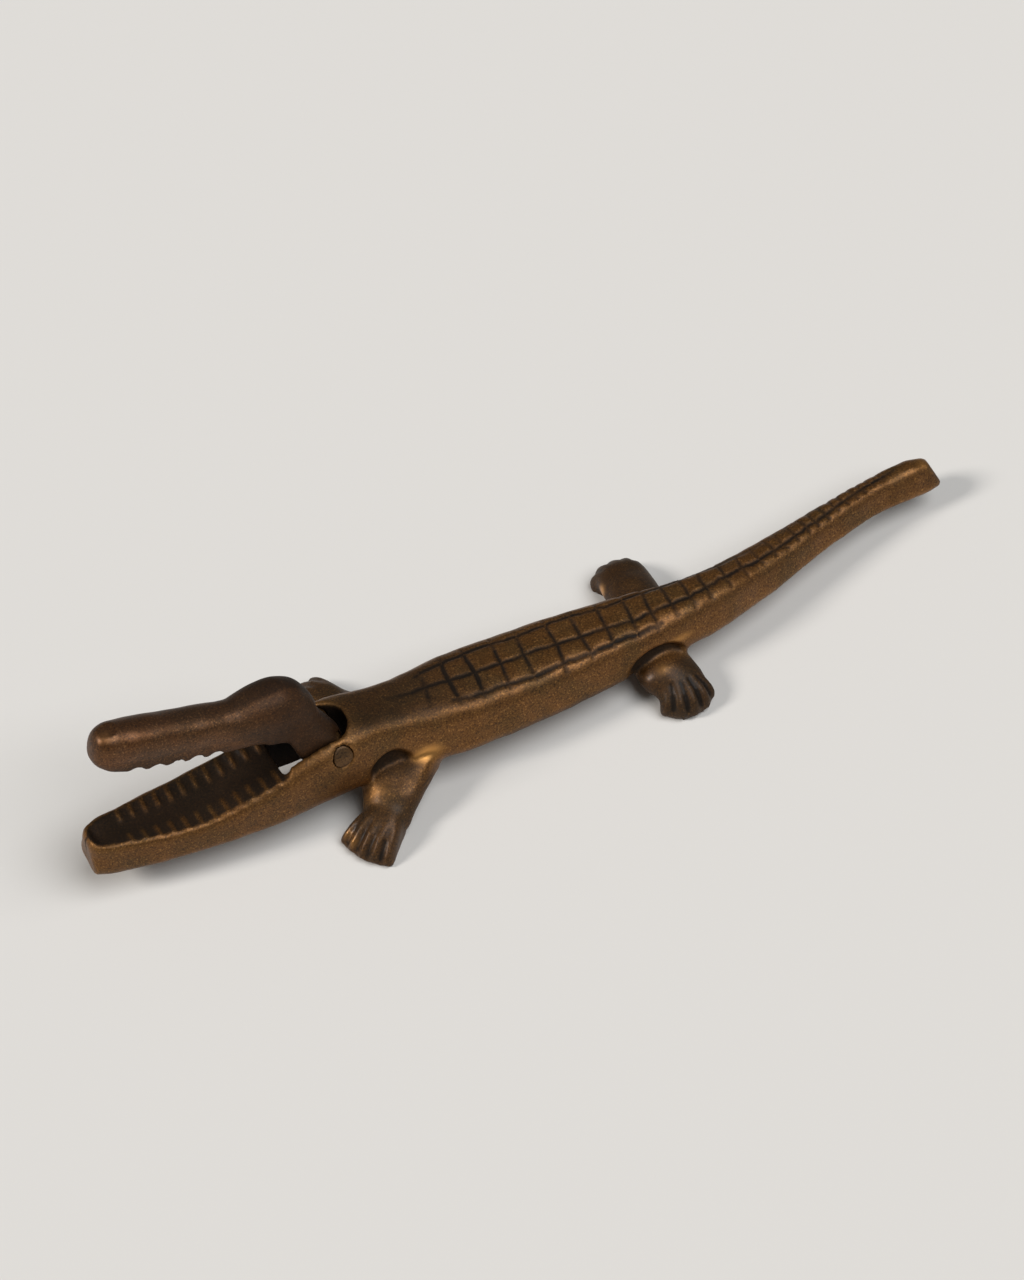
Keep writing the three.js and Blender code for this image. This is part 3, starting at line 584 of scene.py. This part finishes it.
def patina_group():
    """Mottled brown patina, dark in cuts, with painted shade in hollows and painted glints in gold.
    """
    # Hollows also hold real patina, and some gold spots are where hands rub the brass.
    group = bpy.data.node_groups.new("aged patina", "ShaderNodeTree")
    face = group.interface
    for name in ("Brown", "Dark", "Gold", "Olive"):
        face.new_socket(name, in_out="INPUT", socket_type="NodeSocketColor")
    for name in ("Groove", "Hollow", "Edge", "Rubbed", "Polish", "Mottle Scale"):
        face.new_socket(name, in_out="INPUT", socket_type="NodeSocketFloat")
    face.new_socket("Colour", in_out="OUTPUT", socket_type="NodeSocketColor")
    for name in ("Roughness", "Metallic", "Coat", "Height"):
        face.new_socket(name, in_out="OUTPUT", socket_type="NodeSocketFloat")
    nodes = group.nodes
    link = group.links.new
    given = nodes.new("NodeGroupInput").outputs
    place = nodes.new("ShaderNodeTexCoord").outputs["Object"]

    def noise(scale, detail, roughness):
        node = nodes.new("ShaderNodeTexNoise")
        sockets = ("Vector", "Scale", "Detail", "Roughness")
        for name, value in zip(sockets, (place, scale, detail, roughness)):
            fill(group, node.inputs[name], value)
        return node.outputs["Fac"]

    def span(value, low, high, at_low, at_high):
        return passage(group, value, low, high, at_low, at_high)

    def math(operation, first, second):
        return combined(group, operation, first, second, operation == "ADD")

    def mixed(share, first, second):
        node = nodes.new("ShaderNodeMix")
        node.data_type = "RGBA"
        for index, value in ((0, share), (6, first), (7, second)):
            fill(group, node.inputs[index], value)
        return node.outputs[2]

    # The broad mottling, the fine specks and the grain of the sand.
    clouds = noise(given["Mottle Scale"], 4.0, 0.6)
    specks = noise(2100.0, 3.0, 0.7)
    grit = noise(5200.0, 2.0, 0.5)
    colour = mixed(span(clouds, 0.4, 0.68, 0.0, 0.75), given["Brown"], given["Olive"])
    colour = mixed(span(specks, 0.48, 0.7, 0.0, 0.75), colour, given["Dark"])
    colour = mixed(span(specks, 0.46, 0.26, 0.0, 0.5), colour, given["Gold"])
    # Gold on worn edges, rubbed spots and painted glints; dark in cuts, and in hollows with painted
    # shade.
    edge_gold = 0.16
    deepest_shade = 0.94
    worn = math("MULTIPLY", given["Edge"], span(clouds, 0.35, 0.6, 1.0, 0.45))
    gilt = math("ADD", math("MULTIPLY", worn, edge_gold), given["Rubbed"])
    colour = mixed(gilt, colour, given["Gold"])
    shade = math("ADD", given["Hollow"], given["Groove"])
    colour = mixed(math("MULTIPLY", shade, deepest_shade), colour, given["Dark"])
    # Rubbing and polish make the skin smoother, and the dark marks, patina and painted shade, make
    # it dull.
    smoothest, roughest = 0.37, 0.49
    rubbed_smoother, polish_smoother, shade_rougher = 0.03, 0.2, 0.4
    rough = span(clouds, 0.3, 0.7, smoothest, roughest)
    rough = math("SUBTRACT", rough, math("MULTIPLY", given["Rubbed"], rubbed_smoother))
    rough = math("SUBTRACT", rough, math("MULTIPLY", given["Polish"], polish_smoother))
    rough = math("ADD", rough, math("MULTIPLY", shade, shade_rougher))
    # How much bare metal shows, and the thin wax over it.
    least_metal, gilt_metal = 0.72, 0.3
    least_wax, polish_wax = 0.06, 0.45
    metallic = math("ADD", math("MULTIPLY", gilt, gilt_metal), least_metal)
    coat = math("ADD", math("MULTIPLY", given["Polish"], polish_wax), least_wax)
    height = math("ADD", math("MULTIPLY", specks, 0.6), math("MULTIPLY", grit, 0.4))
    out = nodes.new("NodeGroupOutput").inputs
    link(colour, out["Colour"])
    link(rough, out["Roughness"])
    link(metallic, out["Metallic"])
    link(coat, out["Coat"])
    link(height, out["Height"])
    return group


def written(red, green, blue):
    """A colour as the eye reads it, 0 to 255, turned into light."""
    shares = [value / 255 for value in (red, green, blue)]
    return tuple(s / 12.92 if s < 0.04045 else ((s + 0.055) / 1.055) ** 2.4 for s in shares) + (1,)


SKIN_MARKS = ("groove", "hollow", "edge", "rubbed", "polish")


def patina_finish(name, group, colours, mottle, grain_height):
    """One piece's finish: the shared patina on a metal shader, with the marks left on its skin."""
    finish = bpy.data.materials.new(name)
    finish.use_nodes = True
    nodes = finish.node_tree.nodes
    link = finish.node_tree.links.new
    metal = nodes["Principled BSDF"]
    metal.inputs["Coat Roughness"].default_value = 0.35
    patina = nodes.new("ShaderNodeGroup")
    patina.node_tree = group
    for socket, colour in colours.items():
        patina.inputs[socket].default_value = colour
    patina.inputs["Mottle Scale"].default_value = mottle
    for mark in SKIN_MARKS:
        node = nodes.new("ShaderNodeAttribute")
        node.attribute_name = mark
        link(node.outputs["Fac"], patina.inputs[mark.capitalize()])
    for given, taken in (("Colour", "Base Color"), ("Roughness", "Roughness"),
                         ("Metallic", "Metallic"), ("Coat", "Coat Weight")):
        link(patina.outputs[given], metal.inputs[taken])
    bump = nodes.new("ShaderNodeBump")
    bump.inputs["Strength"].default_value = 0.35
    bump.inputs["Distance"].default_value = grain_height * MM
    link(patina.outputs["Height"], bump.inputs["Height"])
    link(bump.outputs["Normal"], metal.inputs["Normal"])
    return finish


def spread_out(values, links, rounds):
    """Values evened out between neighbours, a number of times."""
    for _ in range(rounds):
        values = neighbour_mean(values, links)
    return values


def wear_marks(piece, gold_spots, painted_shade_and_tone, polish, worn):
    """Marks patina and painted shade in hollows, worn edges, darkening, polish, and gold spots."""
    least_bend, full_hollow, full_edge = 0.03, 0.3, 0.22
    points = points_of(piece)
    links = links_of(piece)
    inward = spread_out(points, links, 6) - points
    bend = spread_out(np.einsum("ij,ij->i", inward, normals_of(piece)), links, 3)
    rubbed = np.zeros(len(points))
    for centre, reach, strength in gold_spots:
        rubbed = np.maximum(rubbed, strength * near(points, centre, reach))
    # Hollows darken with patina and with painted shade, and the given darkening joins the same
    # mark.
    hollow = np.maximum((bend - least_bend) / full_hollow, painted_shade_and_tone)
    beside_cuts = np.clip(1 - 3 * spread_out(mark_of(piece, "groove"), links, 4), 0.15, 1)
    keep_mark(piece, "rubbed", rubbed)
    keep_mark(piece, "hollow", hollow * np.clip(1 - 1.5 * rubbed, 0, 1))
    keep_mark(piece, "edge", (-bend - least_bend) / full_edge * beside_cuts * worn)
    keep_mark(piece, "polish", polish)


patina = patina_group()
body_finish = patina_finish(
    "patinated brass", patina,
    {"Brown": written(110, 72, 32), "Dark": written(19, 14, 9),
     "Gold": written(206, 150, 84), "Olive": written(88, 63, 29)},
    90.0, 0.14,
)
# The skin gets finer beside the lines of the grid before they are cut. The grid runs from the neck
# to the tail, above a height, beside the spine, where the skin faces up.
GRID_ENDS = (-46, 114)
GRID_LOWEST = 13
GRID_HALF_WIDTH = 18
GRID_FACING_UP = 0.35
FINER_BESIDE = 2
points = points_of(body)
in_grid = (points[:, 0] > GRID_ENDS[0]) & (points[:, 0] < GRID_ENDS[1])
in_grid &= (points[:, 2] > GRID_LOWEST) & (abs(points[:, 1] - SPINE_Y) < GRID_HALF_WIDTH)
in_grid &= normals_of(body)[:, 2] > GRID_FACING_UP
line_points = np.array([(x, y + SPINE_Y) for run in grid_runs for x, y, cut in run])
closest = np.min([
    np.linalg.norm(points[:, None, :2] - chunk[None], axis=2).min(1)
    for chunk in np.array_split(line_points, 20)
], axis=0)
finer_where(body, in_grid & (closest < FINER_BESIDE))
chasing = chasing_tree()
chase(body, chasing, {
    "Lines": scale_lines, "Cut Width": 1.15 * MM, "Cut Depth": 0.32 * MM, "Pillow Width": 2.6 * MM,
    "Pillow Depth": 0.1 * MM, "Lowest": 11 * MM, "Highest": 40 * MM, "Finish": body_finish,
})
chase(body, chasing, {
    "Lines": toe_lines, "Cut Width": 0.85 * MM, "Cut Depth": 0.6 * MM, "Pillow Width": 1.8 * MM,
    "Pillow Depth": 0.3 * MM, "Lowest": -1 * MM, "Highest": 9.5 * MM, "Finish": body_finish,
})
for drawing in (scale_lines, toe_lines):
    bpy.data.objects.remove(drawing)
# Darkening, as a share of full dark: darker in the mouth, less so on its ribs, and darker towards
# the head and on the legs. Painted shade in the slot, under the arches over the legs, on the upward
# faces from the neck on, and along the corners of the top, where it dims the highlight.
MOUTH_DARK = 0.93
RIB_LIGHTER = 0.75
SLOT_PAINTED_SHADE = 0.97
SLOT_ENDS = (-76, -55.4)
SLOT_HALF_WIDTH = 6.2
ARCH_PAINTED_SHADE = 0.9
HEAD_DARK = 0.12
LEG_ROOTS = ((-45, 18), (12.5, 9.4))
LEG_TOP = 12.2
LEGS_DARK = ((-20, 10), (0.56, 0.68))
TOP_PAINTED_SHADE = ((-35, -10, 30), (0.6, 0.08, 0.05))
CORNER_FACING_UP = 0.62
CORNER_PAINTED_SHADE = 0.24
points = points_of(body)
normals = normals_of(body)
facing_up = normals[:, 2]
from_spine = abs(points[:, 1] - SPINE_Y)
in_mouth, across_mouth = mouth_places(points)
in_slot = (points[:, 0] > SLOT_ENDS[0]) & (points[:, 0] < SLOT_ENDS[1])
in_slot &= from_spine < SLOT_HALF_WIDTH
leg_root = np.interp(points[:, 0], *LEG_ROOTS)
on_legs = ramp(points[:, 2], LEG_TOP, LEG_TOP - 2) * ramp(from_spine, leg_root, leg_root + 2)
on_top = ramp(facing_up, 0.7, 0.95) * ramp(points[:, 0], -60, -52)
on_corner = ramp(abs(facing_up - CORNER_FACING_UP), 0.3, 0)
on_corner *= ramp(points[:, 0], -52, -44) * ramp(points[:, 2], 12, 14)
painted_shade_and_tone = np.maximum.reduce([
    in_mouth * (MOUTH_DARK - RIB_LIGHTER * mark_of(body, "rib")),
    in_slot * SLOT_PAINTED_SHADE * ramp(facing_up, 0.75, 0.45),
    HEAD_DARK * ramp(points[:, 0], -45, -65),
    on_legs * np.interp(points[:, 0], *LEGS_DARK),
    on_top * np.interp(points[:, 0], *TOP_PAINTED_SHADE),
    on_corner * CORNER_PAINTED_SHADE,
])
# Painted shade under each arch over a leg, full at its front and fading towards its back.
for hollow in HOLLOWS:
    fade = np.clip(1.1 - (points[:, 0] - hollow[0]) / hollow[2] * 0.5, 0.4, 1)
    painted_shade_and_tone = np.maximum(painted_shade_and_tone, ARCH_PAINTED_SHADE * fade * under_arch(points, normals, hollow, 0.35))
# Smooth spots that shine: the dome of the left hind leg and the inner toes of the left front foot.
POLISHED = (((24.8, -13.8, 9.6), (6, 5, 4)), ((-63, -20, 4), (4.5, 5.5, 4)))
LEG_POLISH = 0.25
polish = LEG_POLISH * on_legs
for centre, reach in POLISHED:
    polish = np.maximum(polish, near(points, centre, reach))
# Gold spots, partly where hands rub the brass and partly painted glints: middle, reach and
# strength.
# In order the web behind the left front leg, that leg and its toes, the flank over the left hind
# leg and the dome of it, the end of the tail, and the right hind leg.
RUBBED_AND_GLINT_SPOTS = (
    ((-38.9, -13.4, 14.8), (6, 4, 3), 1),
    ((-53.8, -16, 10.4), (5.2, 5.2, 5.2), 0.14),
    ((-64, -20.8, 4), (3, 4.5, 2.5), 0.5),
    ((34, -11, 14.6), (6, 3, 1.6), 0.5),
    ((26.6, -14.8, 10.4), (2.8, 2.6, 2.2), 0.3),
    ((120, 11.4, 14.4), (3, 3, 2), 0.3),
    ((27.9, 18.8, 5.3), (3, 3, 3), 1),
)
# Edges wear bright everywhere but in the mouth, on the legs and on the rim, where little shows.
worn = (1 - 0.8 * in_mouth) * (1 - 0.9 * on_legs)
worn *= 1 - 0.85 * rim_places(points, across_mouth, 1.05, 0.3)
wear_marks(body, RUBBED_AND_GLINT_SPOTS, painted_shade_and_tone, polish, worn)
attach(body, "body")
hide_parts("body_casting")


# Pivot pin: a plain brass pin driven through both cheeks and filed flush with their rounded sides.
# Its two ends are dull and darker than the casting, with a filed edge.
pin_low, pin_high = (np.array(corner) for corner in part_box("pivot_pin"))
PIN_DOME = 0.06 * MM
PIN_EDGE = 0.2 * MM
PIN_ROUND = 64
# The ends are a little wider than the rest of the pin, over this length.
PIN_SPREAD = 0.22 * MM
PIN_SPREAD_LENGTH = 3.2 * MM


def turned(name, profile, around):
    """A turned piece about the hinge line, from the radius and place of each ring."""
    work = bmesh.new()
    rings = []
    for radius, along in profile:
        if radius == 0:
            rings.append([work.verts.new((around.x, along, around.z))])
            continue
        turn = np.arange(PIN_ROUND) * 2 * np.pi / PIN_ROUND
        rings.append([
            work.verts.new((around.x + radius * np.cos(t), along, around.z + radius * np.sin(t)))
            for t in turn
        ])
    for first, second in zip(rings, rings[1:]):
        for index in range(PIN_ROUND):
            after = (index + 1) % PIN_ROUND
            if len(first) == 1:
                work.faces.new((first[0], second[after], second[index]))
            elif len(second) == 1:
                work.faces.new((first[index], first[after], second[0]))
            else:
                work.faces.new((first[index], first[after], second[after], second[index]))
    bmesh.ops.recalc_face_normals(work, faces=work.faces)
    mesh = bpy.data.meshes.new(name)
    work.to_mesh(mesh)
    work.free()
    mesh.shade_smooth()
    piece = bpy.data.objects.new(name, mesh)
    bpy.context.scene.collection.objects.link(piece)
    return piece


pivot = Vector(frame["joints"][0]["pos_m"])
pin_radius = (pin_high[0] - pin_low[0]) / 2 + PIN_SPREAD
half_profile = (
    (0, 0),
    (pin_radius * 0.25, PIN_DOME * 0.1),
    (pin_radius * 0.45, PIN_DOME * 0.3),
    (pin_radius * 0.65, PIN_DOME * 0.6),
    (pin_radius * 0.8, PIN_DOME * 0.8),
    (pin_radius - PIN_EDGE, PIN_DOME),
    (pin_radius - PIN_EDGE * 0.3, PIN_DOME + PIN_EDGE * 0.35),
    (pin_radius, PIN_DOME + PIN_EDGE),
    (pin_radius, PIN_DOME + PIN_EDGE * 2),
    (pin_radius - PIN_SPREAD, PIN_SPREAD_LENGTH),
)
pin_profile = [(radius, pin_low[1] + inset) for radius, inset in half_profile]
pin_profile += [(radius, pin_high[1] - inset) for radius, inset in reversed(half_profile)]
pin = turned("hinge_pin", pin_profile, pivot)


def bend_terms(offsets):
    """The terms of a gently bent surface over the offsets from the hinge line."""
    x, z = offsets[:, 0], offsets[:, 2]
    return np.stack([np.ones(len(x)), x, z, x * x, x * z, z * z], 1)


# Each end follows the cheek, a hair below its surface. The cheek is measured in a ring around
# the pin, well out from the slot, where the skin faces outward.
PIN_BELOW_CHEEK = 0.08
RING_FROM = 0.6
RING_TO = 2.2
RING_OUT = 5
RING_FACING_OUT = 0.35
cheek_points = points_of(body)
cheek_normals = normals_of(body)
from_pivot = cheek_points - np.array(pivot) / MM
past_pin = np.hypot(from_pivot[:, 0], from_pivot[:, 2]) - pin_radius / MM
in_ring = (past_pin > RING_FROM) & (past_pin < RING_TO)
pin_points = points_of(pin)
for side, end in ((-1, pin_low[1] / MM), (1, pin_high[1] / MM)):
    cheek = in_ring & (from_pivot[:, 1] * side > RING_OUT)
    cheek &= cheek_normals[:, 1] * side > RING_FACING_OUT
    bend = np.linalg.lstsq(bend_terms(from_pivot[cheek]), cheek_points[cheek, 1], rcond=None)[0]
    tip = abs(pin_points[:, 1] - end) < 3 * PIN_EDGE / MM
    flush = bend_terms(pin_points[tip] - np.array(pivot) / MM) @ bend
    pin_points[tip, 1] += flush - side * PIN_BELOW_CHEEK - end
move_points(pin, pin_points)
pin_finish = patina_finish(
    "dull pin end", patina,
    {"Brown": written(96, 68, 38), "Dark": written(19, 14, 9),
     "Gold": written(128, 94, 54), "Olive": written(66, 50, 32)},
    160.0, 0.1,
)
pin.data.materials.append(pin_finish)
for mark in SKIN_MARKS:
    keep_mark(pin, mark, np.zeros(len(pin.data.vertices)))
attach(pin, "body")
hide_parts("pivot_pin")


# Upper jaw: the second casting, snout, brow and hinge lug, with rounded teeth along its edge.
# It is a redder brown than the body, smooth from the hand that presses it down.
JAW_SKIN_GRAIN = 0.42
# Brow, snout and knuckle, dressed round by the file: middle, reach, rounds of the file,
# and the swell that is left after it.
JAW_ROUNDED = (
    ((-71, -2.6, 45), (15, 13, 12), 60, 0.55),
    ((-119, -3, 51), (12, 12, 12), 30, 0.15),
    ((-61, -2.6, 31), (8, 9, 7), 20, 0.1),
)
ROUNDED_EDGE = 0.8
# The jaw is tilted open. Heights on it are measured square to its length, from the hinge line.
JAW_TILT = np.radians(16.8)
JAW_TOP_SWELL = 0.5
jaw = even_skin("upper_jaw", "jaw_skin", JAW_SKIN_GRAIN)
points = points_of(jaw)
links = links_of(jaw)
points = softened(points, links, np.ones(len(points)), 5, True)
above_pivot = points - np.array(pivot) / MM
jaw_height = above_pivot[:, 0] * np.sin(JAW_TILT) + above_pivot[:, 2] * np.cos(JAW_TILT)
points = softened(points, links, ramp(jaw_height, 6.5, 8.5), 45, True)
for centre, reach, rounds, swell in JAW_ROUNDED:
    share = near(points, centre, reach, ROUNDED_EDGE)
    points = softened(points, links, share, rounds, False)
    move_points(jaw, points)
    points = swollen(jaw, points, share * swell)
points = swollen(jaw, points, JAW_TOP_SWELL * ramp(jaw_height, 9, 14))
points = swollen(jaw, points, uneven(points, 6, 0.05))
move_points(jaw, points)
jaw_finish = patina_finish(
    "reddish patinated brass", patina,
    {"Brown": written(98, 61, 29), "Dark": written(19, 14, 9),
     "Gold": written(176, 126, 80), "Olive": written(74, 49, 24)},
    80.0, 0.12,
)
jaw.data.materials.append(jaw_finish)
keep_mark(jaw, "groove", np.zeros(len(points)))
points = points_of(jaw)
# Painted shade on the top of the jaw and more of it on the brow, and painted shade along the lower
# edge.
# The side of the snout has a little polish, and a gold spot on its tip is partly rubbed, partly a
# painted glint.
JAW_TOP_PAINTED_SHADE = 0.42
BROW_TOP_MORE_PAINTED_SHADE = 0.4
BROW_PAINTED_SHADE = 0.55
LOW_EDGE_PAINTED_SHADE = 0.5
JAW_POLISH = 0.2
JAW_WORN = 0.5
JAW_RUBBED_AND_GLINT_SPOTS = (((-116.9, -3.9, 56.3), (2.5, 2.5, 1.5), 0.5),)
facing = normals_of(jaw)
towards_brow = ramp(points[:, 0], -90, -76)
on_top = ramp(facing[:, 2], 0, 0.4) * ramp(facing[:, 1], -0.5, -0.2)
jaw_painted_shade = np.maximum.reduce([
    (JAW_TOP_PAINTED_SHADE + BROW_TOP_MORE_PAINTED_SHADE * towards_brow) * on_top,
    BROW_PAINTED_SHADE * towards_brow,
    LOW_EDGE_PAINTED_SHADE * ramp(jaw_height, 9.5, 5.5),
])
jaw_polish = JAW_POLISH * ramp(jaw_height, 9, 12) * (1 - towards_brow)
wear_marks(jaw, JAW_RUBBED_AND_GLINT_SPOTS, jaw_painted_shade, jaw_polish, np.full(len(points), JAW_WORN))
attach(jaw, "jaw")
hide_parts("upper_jaw")


# Table and light: a plain pale tabletop in a dim even room. Two soft lamps far away light it,
# a warm one from the left like a window, and a broad cool one from above.
floor_mesh = bpy.data.meshes.new("tabletop")
work = bmesh.new()
bmesh.ops.create_grid(work, x_segments=1, y_segments=1, size=20)
work.to_mesh(floor_mesh)
work.free()
tabletop = bpy.data.objects.new("tabletop", floor_mesh)
bpy.context.scene.collection.objects.link(tabletop)
cloth = bpy.data.materials.new("pale tabletop")
cloth.use_nodes = True
cloth.node_tree.nodes["Principled BSDF"].inputs["Base Color"].default_value = written(214, 211, 206)
cloth.node_tree.nodes["Principled BSDF"].inputs["Roughness"].default_value = 0.9
floor_mesh.materials.append(cloth)


def soft_light(name, way, spread, strength, colour):
    """Even soft light from one side of the room, as from a broad lamp far away."""
    data = bpy.data.lights.new(name, "SUN")
    data.angle = np.radians(spread)
    data.energy = strength
    data.color = colour
    lamp = bpy.data.objects.new(name, data)
    lamp.rotation_euler = Vector(way).to_track_quat("Z", "Y").to_euler()
    bpy.context.scene.collection.objects.link(lamp)


soft_light("window", (-0.78, 0.08, 0.6), 16, 2, (1, 0.97, 0.94))
soft_light("overhead", (0.27, -0.4, 0.87), 48, 2.3, (0.95, 0.97, 1))
room = bpy.data.worlds.new("room")
room.use_nodes = True
room.node_tree.nodes["Background"].inputs["Color"].default_value = (0.1, 0.1, 0.1, 1)
bpy.context.scene.world = room

# Camera: looks down at the near side from the front left, as in the photo, through a long lens
# that keeps the proportions of the animal true.
EYE = Vector((-275.469, -498.334, 700.0)) * MM
EYE_RIGHT = Vector((0.8813, -0.4726, 0.0))
EYE_UP = Vector((0.3620, 0.6751, 0.6428))
EYE_BACK = Vector((-0.3038, -0.5665, 0.7660))
eye_data = bpy.data.cameras.new("eye")
eye_data.lens = 100.07
eye_data.sensor_width = 36
eye_data.sensor_fit = "AUTO"
eye_data.clip_start = 0.01
eye = bpy.data.objects.new("eye", eye_data)
turn = Matrix((EYE_RIGHT, EYE_UP, EYE_BACK)).transposed().to_4x4()
eye.matrix_world = Matrix.Translation(EYE) @ turn
bpy.context.scene.collection.objects.link(eye)
bpy.context.scene.camera = eye
bpy.context.scene.view_settings.view_transform = "Standard"
